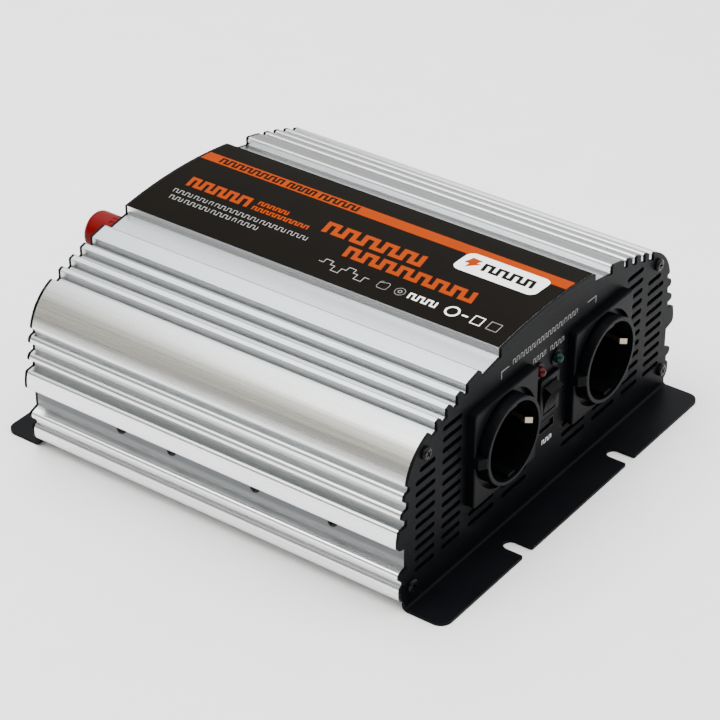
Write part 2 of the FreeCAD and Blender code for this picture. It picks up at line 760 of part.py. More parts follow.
def transformer_cores():
    z = BOARD_TOP + 2
    cores = []
    for x in CORE_X:
        core = box(x - 21, x + 21, CORE_Y - 8, CORE_Y + 8, z, z + 40)
        core = core.cut(box(x - 14, x - 7, CORE_Y - 9, CORE_Y + 9, z + 7, z + 33))
        cores.append(core.cut(box(x + 7, x + 14, CORE_Y - 9, CORE_Y + 9, z + 7, z + 33)))
    return Part.makeCompound(cores)


def transformer_windings():
    z = BOARD_TOP + 2
    coils = []
    for x in CORE_X:
        coil = turned(rounded_block_y(27.4, 31.4, 6.0, -12.5, 12.5), 90, V(1, 0, 0))
        coil = moved(coil.cut(box(-7.2, 7.2, -8.2, 8.2, -20, 20)), x, CORE_Y, z + 20)
        for side in (-1, 1):
            y = CORE_Y + side * 12.5
            coil = coil.fuse(box(x - 6, x + 6, y - 1.5, y + 1.5, BOARD_TOP, z + 9))
        coils.append(coil.removeSplitter())
    return Part.makeCompound(coils)


def capacitor(x, y, r, h):
    can = rod_z(x, y, r, BOARD_TOP, BOARD_TOP + h)
    return can.cut(rod_z(x, y, r + 1, BOARD_TOP + 2.2, BOARD_TOP + 3.4).cut(rod_z(x, y, r - 0.5, 0, 200)))


def input_capacitors():
    cans = []
    for x in CAPACITOR_X:
        cans.append(capacitor(x, 52, 8.0, 28.0))
        cans.append(capacitor(-x, 52, 8.0, 28.0))
    return Part.makeCompound(cans)


def bus_capacitors():
    return pair(capacitor(66, -52, 15.0, 40.0))


def output_choke():
    ring = Part.makeTorus(13.0, 6.0, V(0, -54, BOARD_TOP + 6.0), V(0, 0, 1))
    return ring


def blade_fuses():
    fuses = []
    for x in (-13.5, -4.5, 4.5, 13.5):
        holder = box(x - 3.4, x + 3.4, 66, 78, BOARD_TOP, BOARD_TOP + 5)
        body = box(x - 1.8, x + 1.8, 66.5, 77.5, BOARD_TOP + 4.9, BOARD_TOP + 13)
        fuses.append(holder.fuse(body).removeSplitter())
    return Part.makeCompound(fuses)


def control_board():
    board = box(30, 31.6, -70, -34, BOARD_TOP, BOARD_TOP + 32)
    for y, z in ((-62, 10), (-48, 10), (-55, 22)):
        board = board.fuse(box(31.5, 33.6, y - 4, y + 4, BOARD_TOP + z - 3, BOARD_TOP + z + 3))
    return board.removeSplitter()


def power_transistors():
    devices = []
    for along in TRANSISTOR_Y:
        y = FRONT + along
        body = box(101.3, 105.9, y - 5, y + 5, BOARD_TOP + 3.2, BOARD_TOP + 12.7)
        tab = box(104.6, 105.9, y - 5, y + 5, BOARD_TOP + 12.6, BOARD_TOP + 19)
        legs = []
        for d in (-2.5, 0, 2.5):
            legs.append(box(102.0, 102.6, y + d - 0.4, y + d + 0.4, BOARD_TOP, BOARD_TOP + 3.3))
        device = body.fuse([tab] + legs).removeSplitter()
        devices += [device, mirrored(device)]
    return Part.makeCompound(devices)


def insulator_strips():
    strip = box(105.95, 106.35, FRONT + 32, BOARD_REAR, BOARD_TOP + 2.5, BOARD_TOP + 20)
    for y in CLAMP_Y:
        strip = strip.cut(rod_x(FRONT + y, CLAMP_Z, 1.8, 105, 107))
    return pair(strip)


def clamp_bars():
    bar = box(96.3, 101.3, FRONT + 32, BOARD_REAR, BOARD_TOP + 4.5, BOARD_TOP + 12.0)
    for y in CLAMP_Y:
        bar = bar.cut(rod_x(FRONT + y, CLAMP_Z, 1.55, 95, 102))
    return pair(bar)


def clamp_screws():
    screws = []
    for k, y in enumerate(CLAMP_Y):
        one = turned(pan_screw(2.5, 1.8, 1.5, 12.6), 25 * k, V(0, 1, 0))
        one = moved(turned(one, 90, V(0, 0, 1)), 109.2, FRONT + y, CLAMP_Z)
        screws += [one, mirrored(one)]
    return Part.makeCompound(screws)


# ---------------------------------------------------------------------------
# Write every node
# ---------------------------------------------------------------------------
save("housing_upper", upper_shell())
save("housing_base", base_tray())
save("front_plate", front_plate())
save("rear_plate", rear_plate())
save("front_plate_screws", plate_screws())
save("rear_plate_screws", turned(plate_screws(), 180, V(0, 0, 1)))
save("top_label", top_label())

for word, sign in (("left", -1), ("right", 1)):
    x = SOCKET_MID + sign * SOCKET_X
    save("socket_" + word + "_body", moved(socket_body(), x, FRONT, SOCKET_Z))
    save("socket_" + word + "_earth_clips", moved(earth_clips(), x, FRONT, SOCKET_Z))
    save("socket_" + word + "_contacts", moved(socket_contacts(), x, FRONT, SOCKET_Z))
    x = sign * FAN_X
    save("fan_" + word + "_frame", moved(fan_frame(), x, HALF, FAN_Z))
    save("fan_" + word + "_rotor", moved(fan_rotor(), x, HALF, FAN_Z))
    save("fan_" + word + "_guard", moved(fan_guard(), x, HALF, FAN_Z))
    save("fan_" + word + "_screws", moved(fan_screws(), x, HALF, FAN_Z))

save("switch_case", moved(switch_case(), 0, FRONT, SWITCH_Z))
save("switch_rocker", moved(switch_rocker(), 0, FRONT, SWITCH_Z))
save("switch_terminals", moved(switch_terminals(), 0, FRONT, SWITCH_Z))
save("usb_shell", moved(usb_shell(), USB_X, FRONT, USB_Z))
save("usb_tongue", moved(usb_tongue(), USB_X, FRONT, USB_Z))
save("led_holders", moved(pair(moved(led_holder(), LED_X, 0, 0)), LED_MID, FRONT, LED_Z))
save("fault_lamp", moved(led_lamp(), LED_MID - LED_X, FRONT, LED_Z))
save("power_lamp", moved(led_lamp(), LED_MID + LED_X, FRONT, LED_Z))

for word, (x, z) in (("positive", POSITIVE), ("negative", NEGATIVE)):
    save("dc_" + word + "_base", moved(terminal_base(), x, REAR, z))
    save("dc_" + word + "_stud", moved(terminal_stud(), x, REAR, z))
    save("dc_" + word + "_nut", moved(terminal_nut(), x, REAR, z))
    save("dc_" + word + "_collar", moved(terminal_collar(), x, REAR, z))
    save("dc_" + word + "_knob", moved(terminal_knob(), x, REAR, z))
    save("dc_" + word + "_bus_bar", moved(bus_bar(z), x, REAR, z))

save("ground_stud", moved(ground_stud(), 0, REAR, GROUND_Z))
save("ground_washer", moved(ground_washer(), 0, REAR, GROUND_Z))
save("ground_wing_nut", moved(wing_nut(), 0, REAR, GROUND_Z))

save("main_board", main_board())
save("board_standoffs", board_standoffs())
save("transformer_cores", transformer_cores())
save("transformer_windings", transformer_windings())
save("input_capacitors", input_capacitors())
save("bus_capacitors", bus_capacitors())
save("output_choke", output_choke())
save("blade_fuses", blade_fuses())
save("control_board", control_board())
save("power_transistors", power_transistors())
save("insulator_strips", insulator_strips())
save("clamp_bars", clamp_bars())
save("clamp_screws", clamp_screws())
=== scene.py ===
import json
import math

import bmesh
import bpy
from mathutils import Matrix, Vector


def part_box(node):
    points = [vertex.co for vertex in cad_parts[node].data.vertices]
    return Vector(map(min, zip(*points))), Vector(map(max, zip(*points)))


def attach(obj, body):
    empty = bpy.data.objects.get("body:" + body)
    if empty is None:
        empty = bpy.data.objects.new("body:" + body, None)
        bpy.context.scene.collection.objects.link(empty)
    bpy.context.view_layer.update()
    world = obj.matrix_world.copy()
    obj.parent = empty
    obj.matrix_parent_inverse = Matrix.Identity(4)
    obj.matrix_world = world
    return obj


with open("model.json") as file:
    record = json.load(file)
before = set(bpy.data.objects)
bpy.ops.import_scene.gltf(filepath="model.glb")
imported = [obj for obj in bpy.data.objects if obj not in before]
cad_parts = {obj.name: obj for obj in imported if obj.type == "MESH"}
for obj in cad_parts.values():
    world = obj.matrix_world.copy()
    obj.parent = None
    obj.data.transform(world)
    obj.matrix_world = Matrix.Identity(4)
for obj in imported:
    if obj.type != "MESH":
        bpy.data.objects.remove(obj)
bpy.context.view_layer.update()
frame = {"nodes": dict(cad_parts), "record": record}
MM = 0.001

# ---------------------------------------------------------------------------
# Places, read from the frame where it has them
# ---------------------------------------------------------------------------
FACE_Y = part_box("usb_shell")[0][1]      # outer face of the front plate
ARCH_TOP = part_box("top_label")[1][2]
ARCH_R = 263.25 * MM                    # outer radius of the label film
AIM = Vector((0, 0, 0.05))              # point that every light faces
CAMERA_PLACE = Vector((-0.8215, -0.6112, 0.6952))
CAMERA_RIGHT = Vector((0.59175, -0.80612, -0.00275))
CAMERA_UP = Vector((0.44019, 0.32027, 0.83885))
CAMERA_BACK = Vector((-0.67533, -0.49760, 0.54436))
CAMERA_LENS = 126.8


# ---------------------------------------------------------------------------
# Materials
# ---------------------------------------------------------------------------
NOISE_LOW, NOISE_HIGH = 0.3, 0.7        # the part of a noise's range that is used


def fill_ramp(elements, tones):
    """Give a colour ramp its (place, colour) pairs."""
    elements[1].position = tones[-1][0]
    elements[0].position = tones[0][0]
    for place, tone in tones[1:-1]:
        elements.new(place)
    for element, (place, tone) in zip(elements, tones):
        element.color = (*tone, 1)


class Nodes:
    """Small wrapper for building a procedural material."""

    def __init__(self, name):
        self.mat = bpy.data.materials.new(name)
        self.mat.use_nodes = True
        self.tree = self.mat.node_tree
        self.tree.nodes.clear()
        self.out = self.tree.nodes.new("ShaderNodeOutputMaterial")
        self.bsdf = self.tree.nodes.new("ShaderNodeBsdfPrincipled")
        self.link(self.bsdf.outputs[0], self.out.inputs[0])
        self.coord = self.tree.nodes.new("ShaderNodeTexCoord")

    def link(self, a, b):
        self.tree.links.new(a, b)

    def set(self, **values):
        for key, value in values.items():
            self.bsdf.inputs[key.replace("_", " ")].default_value = value

    def noise(self, scale, stretch=(1, 1, 1), detail=3.0, rough=0.5):
        mapping = self.tree.nodes.new("ShaderNodeMapping")
        mapping.inputs["Scale"].default_value = stretch
        self.link(self.coord.outputs["Object"], mapping.inputs["Vector"])
        node = self.tree.nodes.new("ShaderNodeTexNoise")
        node.inputs["Scale"].default_value = scale
        node.inputs["Detail"].default_value = detail
        node.inputs["Roughness"].default_value = rough
        self.link(mapping.outputs[0], node.inputs["Vector"])
        return node.outputs["Fac"]

    def ramp(self, source, low, high):
        return self.steps(source, ((NOISE_LOW, low), (NOISE_HIGH, high)))

    def steps(self, source, tones):
        node = self.tree.nodes.new("ShaderNodeValToRGB")
        fill_ramp(node.color_ramp.elements, tones)
        self.link(source, node.inputs[0])
        return node.outputs[0]

    def range(self, source, low, high, start=NOISE_LOW, end=NOISE_HIGH):
        node = self.tree.nodes.new("ShaderNodeMapRange")
        node.inputs["From Min"].default_value = start
        node.inputs["From Max"].default_value = end
        node.inputs["To Min"].default_value = low
        node.inputs["To Max"].default_value = high
        self.link(source, node.inputs[0])
        return node.outputs[0]

    def above(self, source, edge):
        return self.range(source, 0.0, 1.0, *edge)

    def below(self, source, edge):
        return self.range(source, 1.0, 0.0, *edge)

    def both(self, a, b):
        return self.math("MULTIPLY", a, b)

    def blend(self, factor, a, b):
        node = self.tree.nodes.new("ShaderNodeMix")
        node.data_type = "RGBA"
        self.link(factor, node.inputs["Factor"])
        sockets = [i for i in node.inputs if i.type == "RGBA"]
        self.link(a, sockets[0])
        self.link(b, sockets[1])
        return [o for o in node.outputs if o.type == "RGBA"][0]

    def math(self, operation, a, b=None):
        node = self.tree.nodes.new("ShaderNodeMath")
        node.operation = operation
        for slot, value in ((0, a), (1, b)):
            if isinstance(value, float):
                node.inputs[slot].default_value = value
            elif value is not None:
                self.link(value, node.inputs[slot])
        return node.outputs[0]

    def bump(self, source, distance):
        node = self.tree.nodes.new("ShaderNodeBump")
        node.inputs["Strength"].default_value = 1.0
        node.inputs["Distance"].default_value = distance
        self.link(source, node.inputs["Height"])
        self.link(node.outputs[0], self.bsdf.inputs["Normal"])


def plain_material(name, low, high, rough, metal=0.0, grain=400.0, depth=0.00002, spread=0.06, shine=0.5):
    """A material whose colour, roughness and surface all vary a little."""
    n = Nodes(name)
    n.set(Metallic=metal, Specular_IOR_Level=shine)
    wide = n.noise(35.0, detail=4.0)
    fine = n.noise(grain, detail=3.0)
    n.link(n.ramp(wide, low, high), n.bsdf.inputs["Base Color"])
    n.link(n.range(fine, rough - spread / 2, rough + spread / 2), n.bsdf.inputs["Roughness"])
    n.bump(fine, depth)
    return n.mat


# Limits of the extrusion's profile in metres, each with a soft edge from start to end
PLATEAU_SIDE = (0.0450, 0.0500)         # across
SIDE_INNER = (0.0960, 0.0970)
SHOULDER_SIDE = (0.0918, 0.0922)
SHOULDER_FOOT = (0.0655, 0.0662)        # height
TRAY_EDGE = (0.0050, 0.0056)
RECESS_TOP = (0.0348, 0.0362)
RECESS_BOTTOM = (0.0224, 0.0236)
RECESS_SHADE_FADE = (0.0240, 0.0275)
LOW_FIN_FOOT = (0.0170, 0.0180)
GROOVE_DEPTH = (0.0012, 0.0036)         # behind the tips of the side fins
# The tips' line: half width at its upper end, at the wide fin and at its lower end
TIPS_HIGH, TIPS_WIDE, TIPS_LOW = 0.1092, 0.1153, 0.1125
TIPS_HEIGHTS = (0.0050, 0.0400, 0.0660)


def painted_shade_masks(n):
    """Masks for painted shade on the extrusion, from its profile, and the directions its faces look in.

    Returns the painted shade on the top fin walls, in the flank grooves and in the screw pocket under the
    wide fin, how far a face looks up, the rounded shoulder, and the upward part of the face direction.
    """
    place = n.tree.nodes.new("ShaderNodeSeparateXYZ")
    n.link(n.coord.outputs["Object"], place.inputs[0])
    across = n.math("ABSOLUTE", place.outputs["X"])
    height = place.outputs["Z"]
    facing = n.tree.nodes.new("ShaderNodeSeparateXYZ")
    n.link(n.tree.nodes.new("ShaderNodeNewGeometry").outputs["Normal"], facing.inputs[0])
    outward = n.math("MULTIPLY", facing.outputs["X"], n.math("SIGN", place.outputs["X"]))
    fin_wall_shade = n.both(n.above(outward, (0.42, 0.75)), n.above(across, PLATEAU_SIDE))
    fin_wall_shade = n.both(fin_wall_shade, n.below(across, SHOULDER_SIDE))
    low, wide, high = TIPS_HEIGHTS
    tips_high = n.range(height, TIPS_WIDE, TIPS_HIGH, wide, high)
    tips_low = n.range(height, TIPS_LOW, TIPS_WIDE, low, wide)
    depth = n.math("SUBTRACT", n.math("MINIMUM", tips_high, tips_low), across)
    side_groove_shade = n.both(n.above(depth, GROOVE_DEPTH), n.above(across, SIDE_INNER))
    side_groove_shade = n.both(side_groove_shade, n.both(n.below(height, SHOULDER_FOOT), n.above(height, TRAY_EDGE)))
    # painted shade in the recess under the wide fin, lighter towards its bottom
    recess_shade = n.both(side_groove_shade, n.both(n.below(height, RECESS_TOP), n.above(height, RECESS_BOTTOM)))
    recess_shade = n.both(recess_shade, n.range(height, 0.40, 0.95, *RECESS_SHADE_FADE))
    low_fin = n.both(n.below(height, RECESS_BOTTOM), n.above(height, LOW_FIN_FOOT))
    off_low_fin = n.math("SUBTRACT", 1.0, low_fin)
    side_groove_shade = n.both(side_groove_shade, off_low_fin)
    upward = n.both(n.above(facing.outputs["Z"], (0.35, 0.95)), off_low_fin)
    shoulder = n.both(n.above(across, SHOULDER_SIDE), n.above(height, SHOULDER_FOOT))
    return fin_wall_shade, side_groove_shade, recess_shade, upward, shoulder, facing.outputs["Z"]


# Painted highlight and shade bands on the shoulder, by the upward part of the face direction
SHOULDER_PAINTED_LIGHT = (
    (0.25, (0.68, 0.69, 0.69)), (0.36, (0.62, 0.625, 0.62)), (0.45, (0.77, 0.765, 0.73)),
    (0.53, (0.94, 0.925, 0.87)), (0.60, (0.71, 0.70, 0.65)), (0.66, (0.41, 0.405, 0.37)),
    (0.72, (0.26, 0.257, 0.236)), (0.78, (0.34, 0.34, 0.325)), (0.85, (0.40, 0.405, 0.40)),
    (0.95, (0.342, 0.356, 0.366)),
)


def extruded_aluminium():
    """Satin anodised extrusion with faint die lines along Y, with painted shade in its grooves and under
    the wide fin, darker copies of its colour on faces that look up, and a painted highlight and shade
    band on the shoulder.
    """
    n = Nodes("anodised_extrusion")
    n.set(Metallic=1.0)
    lines = n.noise(1.0, stretch=(1400, 5, 1400), detail=4.0, rough=0.6)
    broad = n.noise(1.0, stretch=(60, 3, 60), detail=2.0)
    pores = n.noise(2600.0, detail=2.0)
    fin_wall_shade, side_groove_shade, recess_shade, upward, shoulder, tilt = painted_shade_masks(n)
    # lit and shaded copies of one colour: faces that look up get the darker copy, a painted shade by face
    # direction
    lit_upright = n.ramp(broad, (0.78, 0.79, 0.80), (0.84, 0.85, 0.86))
    shaded_up_facing = n.ramp(broad, (0.322, 0.336, 0.346), (0.362, 0.376, 0.386))
    colour = n.blend(upward, lit_upright, shaded_up_facing)
    # painted highlight and shade bands across the shoulder
    colour = n.blend(shoulder, colour, n.steps(tilt, SHOULDER_PAINTED_LIGHT))
    # painted shade on the top fin walls, in the flank grooves and under the wide fin
    colour = n.blend(fin_wall_shade, colour, n.ramp(lines, (0.48, 0.49, 0.49), (0.54, 0.55, 0.55)))
    colour = n.blend(side_groove_shade, colour, n.ramp(lines, (0.47, 0.48, 0.485), (0.55, 0.56, 0.565)))
    colour = n.blend(recess_shade, colour, n.ramp(lines, (0.075, 0.080, 0.086), (0.105, 0.112, 0.118)))
    n.link(colour, n.bsdf.inputs["Base Color"])
    rough = n.math("ADD", n.range(lines, 0.24, 0.34), n.math("MULTIPLY", side_groove_shade, 0.1))
    n.link(rough, n.bsdf.inputs["Roughness"])
    n.bump(n.math("ADD", lines, pores), 0.000008)
    return n.mat


ALUMINIUM = extruded_aluminium()
PLATE = plain_material(
    "powder_coat", (0.0026, 0.0029, 0.0038), (0.0038, 0.0042, 0.0054), 0.42,
    grain=1500.0, depth=0.00003, shine=0.038)
SCREW = plain_material(
    "black_oxide", (0.004, 0.004, 0.0044), (0.009, 0.009, 0.0095), 0.28,
    metal=0.3, grain=900.0, shine=0.12)
LABEL = plain_material(
    "label_film", (0.0032, 0.0025, 0.0016), (0.0042, 0.0033, 0.0022), 0.5,
    grain=1200.0, depth=0.000004, shine=0.02)
SOCKET = plain_material(
    "socket_plastic", (0.0024, 0.0027, 0.0034), (0.0034, 0.0038, 0.0048), 0.3,
    grain=700.0, depth=0.000003, spread=0.03, shine=0.036)
SWITCH = plain_material(
    "switch_plastic", (0.0020, 0.0022, 0.0026), (0.0032, 0.0035, 0.0040), 0.32,
    grain=900.0, depth=0.00001, shine=0.05)
NICKEL = plain_material(
    "nickel", (0.34, 0.29, 0.21), (0.44, 0.38, 0.29), 0.3,
    metal=1.0, grain=500.0, depth=0.000004)
BRASS = plain_material(
    "brass", (0.60, 0.42, 0.16), (0.72, 0.52, 0.24), 0.28,
    metal=1.0, grain=500.0, depth=0.000006)
STEEL = plain_material(
    "zinc_steel", (0.50, 0.51, 0.53), (0.62, 0.63, 0.64), 0.3,
    metal=1.0, grain=600.0, depth=0.000008)
WIRE = plain_material(
    "plated_wire", (0.64, 0.65, 0.66), (0.74, 0.74, 0.75), 0.16,
    metal=1.0, grain=300.0, depth=0.000003)
SHELL = plain_material(
    "port_shell", (0.020, 0.020, 0.022), (0.035, 0.035, 0.038), 0.35,
    metal=1.0, grain=500.0, depth=0.000004)
RED = plain_material(
    "red_plastic", (0.105, 0.0012, 0.0016), (0.125, 0.0018, 0.0024), 0.35,
    grain=700.0, depth=0.000006, shine=0.06)
BLACK = plain_material(
    "black_plastic", (0.004, 0.004, 0.0044), (0.007, 0.007, 0.0076), 0.3,
    grain=700.0, depth=0.000006, shine=0.15)
FAN = plain_material(
    "fan_plastic", (0.006, 0.006, 0.0065), (0.010, 0.010, 0.011), 0.42,
    grain=800.0, shine=0.2)
BOARD = plain_material(
    "solder_mask", (0.006, 0.07, 0.025), (0.010, 0.10, 0.035), 0.35,
    grain=500.0, shine=0.3)
FERRITE = plain_material(
    "ferrite", (0.02, 0.02, 0.024), (0.04, 0.04, 0.045), 0.55,
    grain=800.0, shine=0.3)
TAPE = plain_material("winding_tape", (0.50, 0.33, 0.02), (0.62, 0.44, 0.04), 0.4, grain=300.0)
CAN = plain_material(
    "can_sleeve", (0.008, 0.012, 0.045), (0.012, 0.02, 0.07), 0.28,
    grain=300.0, shine=0.3)
COPPER = plain_material("copper", (0.60, 0.25, 0.11), (0.72, 0.34, 0.18), 0.3, metal=1.0, grain=400.0)
FUSE = plain_material("fuse_body", (0.52, 0.15, 0.01), (0.62, 0.21, 0.015), 0.25, grain=300.0)
PACKAGE = plain_material(
    "moulded_package", (0.008, 0.008, 0.008), (0.016, 0.016, 0.016), 0.5,
    grain=900.0, shine=0.3)
PAD = plain_material("thermal_pad", (0.36, 0.37, 0.40), (0.44, 0.45, 0.48), 0.6, grain=700.0)
TONGUE = plain_material(
    "port_tongue", (0.008, 0.008, 0.008), (0.014, 0.014, 0.014), 0.4,
    grain=600.0, shine=0.1)
ORANGE = plain_material(
    "orange_ink", (0.255, 0.030, 0.0), (0.272, 0.033, 0.0), 0.6,
    grain=1200.0, depth=0.000003, shine=0.02)
WHITE = plain_material(
    "white_ink", (0.86, 0.86, 0.85), (0.92, 0.92, 0.91), 0.5,
    grain=1200.0, depth=0.000003, shine=0.2)
GREY = plain_material(
    "grey_ink", (0.20, 0.20, 0.20), (0.27, 0.27, 0.27), 0.5,
    grain=1200.0, depth=0.000003, shine=0.2)
FAINT = plain_material(
    "faint_ink", (0.30, 0.30, 0.29), (0.36, 0.36, 0.35), 0.5,
    grain=1200.0, depth=0.000003, shine=0.1)
CAPTION = plain_material(
    "caption_ink", (0.30, 0.30, 0.31), (0.38, 0.38, 0.39), 0.5,
    grain=1200.0, depth=0.000003, shine=0.1)


def lens_material(name, low, high):
    n = Nodes(name)
    n.set(IOR=1.5, Coat_Weight=0.14, Specular_IOR_Level=0.08)
    n.bsdf.inputs["Coat Roughness"].default_value = 0.08
    wide = n.noise(220.0)
    n.link(n.ramp(wide, low, high), n.bsdf.inputs["Base Color"])
    n.link(n.range(wide, 0.1, 0.2), n.bsdf.inputs["Roughness"])
    return n.mat


LENS_RED = lens_material("lens_red", (0.034, 0.0006, 0.002), (0.050, 0.001, 0.003))
LENS_GREEN = lens_material("lens_green", (0.0004, 0.012, 0.008), (0.0008, 0.019, 0.013))

SLOT_MATERIALS = {
    "housing": ALUMINIUM, "plate": PLATE, "screw": SCREW, "label": LABEL, "socket": SOCKET,
    "nickel": NICKEL, "brass": BRASS, "switch": SWITCH, "lens_red": LENS_RED, "lens_green": LENS_GREEN,
    "steel": STEEL, "usb_white": TONGUE, "red": RED, "black": BLACK, "fan": FAN, "wire": WIRE,
    "board": BOARD, "ferrite": FERRITE, "tape": TAPE, "can": CAN, "copper": COPPER, "fuse": FUSE,
    "package": PACKAGE, "pad": PAD,
}

# ---------------------------------------------------------------------------
# Finish every CAD node
# ---------------------------------------------------------------------------
EDGE = {
    "housing_upper": 0.12, "housing_base": 0.25, "front_plate": 0.15, "rear_plate": 0.15,
    "switch_rocker": 0.35, "switch_case": 0.12, "socket_left_body": 0.15, "socket_right_body": 0.15,
    "dc_positive_base": 0.3, "dc_negative_base": 0.3, "dc_positive_knob": 0.2, "dc_negative_knob": 0.2,
    "ground_wing_nut": 0.3, "usb_shell": 0.1, "led_holders": 0.15,
}
for row in frame["record"]["subparts"]:
    node = frame["nodes"][row["node"]]
    node.data.materials.clear()
    material = SHELL if row["node"] == "usb_shell" else SLOT_MATERIALS[row["material_slot"]]
    node.data.materials.append(material)
    width = EDGE.get(row["node"])
    if width:
        bevel = node.modifiers.new("edge", "BEVEL")
        bevel.width = width * MM
        bevel.segments = 2
        bevel.limit_method = "ANGLE"
        bevel.angle_limit = math.radians(35)
        bevel.harden_normals = True
        bevel.use_clamp_overlap = True


# ---------------------------------------------------------------------------
# Flat print: outlines in millimetres, laid on the arched label or on the plate
# ---------------------------------------------------------------------------
def arch_height(x):
    return ARCH_TOP - ARCH_R + math.sqrt(ARCH_R * ARCH_R - x * x)


def on_label(x, y, lift):
    return Vector((x * MM, y * MM, arch_height(x * MM) + lift))


def on_plate(x, z, lift):
    return Vector((x * MM, FACE_Y - lift, z * MM))


def print_piece(name, outlines, place, material, lift=0.00005, cut=None):
    """Thin print as a mesh.  A wide outline is cut every few millimetres to follow the arch."""
    bm = bmesh.new()
    for outline in outlines:
        verts = [bm.verts.new((a, b, 0)) for a, b in outline]
        bm.faces.new(verts)
    if cut:
        lo = min(v.co.x for v in bm.verts)
        hi = max(v.co.x for v in bm.verts)
        x = math.ceil(lo / cut) * cut
        while x < hi:
            geometry = bm.verts[:] + bm.edges[:] + bm.faces[:]
            bmesh.ops.bisect_plane(bm, geom=geometry, plane_co=(x, 0, 0), plane_no=(1, 0, 0))
            x += cut
    bmesh.ops.triangulate(bm, faces=bm.faces[:])
    for vert in bm.verts:
        vert.co = place(vert.co.x, vert.co.y, lift)
    bmesh.ops.recalc_face_normals(bm, faces=bm.faces[:])
    mesh = bpy.data.meshes.new(name)
    bm.to_mesh(mesh)
    bm.free()
    obj = bpy.data.objects.new(name, mesh)
    bpy.context.collection.objects.link(obj)
    mesh.materials.append(material)
    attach(obj, "case")


def rectangle(x0, x1, y0, y1):
    return [(x0, y0), (x1, y0), (x1, y1), (x0, y1)]


def rounded(x0, x1, y0, y1, r, steps=7):
    points = []
    corners = ((x1 - r, y1 - r, 0), (x0 + r, y1 - r, 90), (x0 + r, y0 + r, 180), (x1 - r, y0 + r, 270))
    for cx, cy, start in corners:
        for k in range(steps + 1):
            a = math.radians(start + 90 * k / steps)
            points.append((cx + r * math.cos(a), cy + r * math.sin(a)))
    return points


def ring(cx, cy, r_in, r_out, steps=24):
    quads = []
    for k in range(steps):
        a = 2 * math.pi * k / steps
        b = 2 * math.pi * (k + 1) / steps
        corners = ((r_in, a), (r_out, a), (r_out, b), (r_in, b))
        quads.append([(cx + r * math.cos(t), cy + r * math.sin(t)) for r, t in corners])
    return quads


def stroke(points, width):
    """Mitred band along a polyline, as quads."""
    half = width / 2
    left = []
    right = []
    for k, (x, y) in enumerate(points):
        before = Vector(points[max(k - 1, 0)])
        after = Vector(points[min(k + 1, len(points) - 1)])
        here = Vector((x, y))
        d1 = (here - before).normalized() if k > 0 else (after - here).normalized()
        d2 = (after - here).normalized() if k < len(points) - 1 else d1
        n1 = Vector((-d1.y, d1.x))
        n2 = Vector((-d2.y, d2.x))
        m = (n1 + n2).normalized()
        reach = half / max(0.35, m.dot(n1))
        left.append((x + m.x * reach, y + m.y * reach))
        right.append((x - m.x * reach, y - m.y * reach))
    quads = []
    for k in range(len(points) - 1):
        quads.append([left[k], right[k], right[k + 1], left[k + 1]])
    return quads


def outline_box(x0, x1, y0, y1, width):
    return stroke([(x0, y1), (x1, y1), (x1, y0), (x0, y0), (x0, y1)], width)


def meander(start, base, top, words, gap, thick, lean=0.0):
    """Words of an abstract square wave that stand in for a line of print.

    Each word is a list of steps.  Returns quads as (run, height).
    """
    quads = []
    run = start
    half = thick / 2
    for word in words:
        points = [(run + half, base)]
        high = True
        run += half
        for step in word:
            points.append((run, top - half if high else base + half))
            run += step
            points.append((run, top - half if high else base + half))
            high = not high
        points.append((run, top if high else base))
        run += half + gap
        leaning = [(a + lean * (b - base) / (top - base), b) for a, b in points]
        quads += stroke(leaning, thick)
    return quads


def along_label(quads):
    """Runs along -Y, up is +X."""
    return [[(b, -a) for a, b in quad] for quad in quads]


# Label.  x is across and y along it, in millimetres in the part's own frame.
print_piece("label_stripe", [rectangle(16.0, 24.0, -109.1, 102.6)], on_label, ORANGE, cut=2.0)
stripe_words = [[2.7, 2.3] * 7 + [2.6], [2.3, 2.1] * 3 + [2.3], [2.9, 2.5] * 4]
stripe = along_label(meander(-92.5, 17.3, 22.6, stripe_words, 2.6, 1.25, lean=-0.9))
print_piece("label_stripe_print", stripe, on_label, LABEL, lift=0.00010)
badge_plate = [rounded(1.3, 18.7, -101.0, -56.0, 4.2)]
print_piece("label_badge", badge_plate, on_label, WHITE, lift=0.00010, cut=2.0)
badge = along_label(meander(69.0, 6.4, 13.6, [[3.9, 3.6] * 3 + [3.4]], 0.0, 1.9, lean=-1.4))
print_piece("label_badge_print", badge, on_label, LABEL, lift=0.00014)
bolt = [
    (14.6, -60.2), (14.0, -65.8), (10.9, -64.4), (11.2, -67.0),
    (4.9, -61.2), (8.9, -61.4), (8.6, -58.8),
]
print_piece("label_badge_bolt", [bolt], on_label, ORANGE, lift=0.00014)
rating = along_label(meander(-90.5, -10.2, -2.0, [[3.9, 3.7] * 4 + [4.6]], 0.0, 2.1, lean=-1.6))
print_piece("label_rating", rating, on_label, ORANGE)
small = meander(-50.5, -5.2, -2.0, [[1.8, 1.6] * 5], 0.0, 0.85, lean=-0.6)
small += meander(-50.5, -10.2, -7.0, [[1.8, 1.6] * 9 + [1.8]], 0.0, 0.85, lean=-0.6)
print_piece("label_rating_note", along_label(small), on_label, ORANGE)
first = [[1.9, 1.7] * 3, [1.9, 1.7] * 2, [1.8], [1.9, 1.7] * 7, [1.9, 1.7] * 4, [1.9, 1.7] * 3]
second = [[1.9, 1.7] * 2, [1.9, 1.7] * 4, [1.9, 1.7] * 3, [1.8], [1.9, 1.7] * 3]
fine = meander(-92.0, -18.0, -15.2, first, 1.6, 0.30, lean=-0.5)
fine += meander(-90.0, -23.4, -20.6, second, 1.6, 0.30, lean=-0.5)
print_piece("label_lines", along_label(fine), on_label, FAINT)
upper_steps = [5.2, 5.2, 5.4, 5.6, 6.0, 5.4, 5.2, 5.4, 5.2, 4.9]
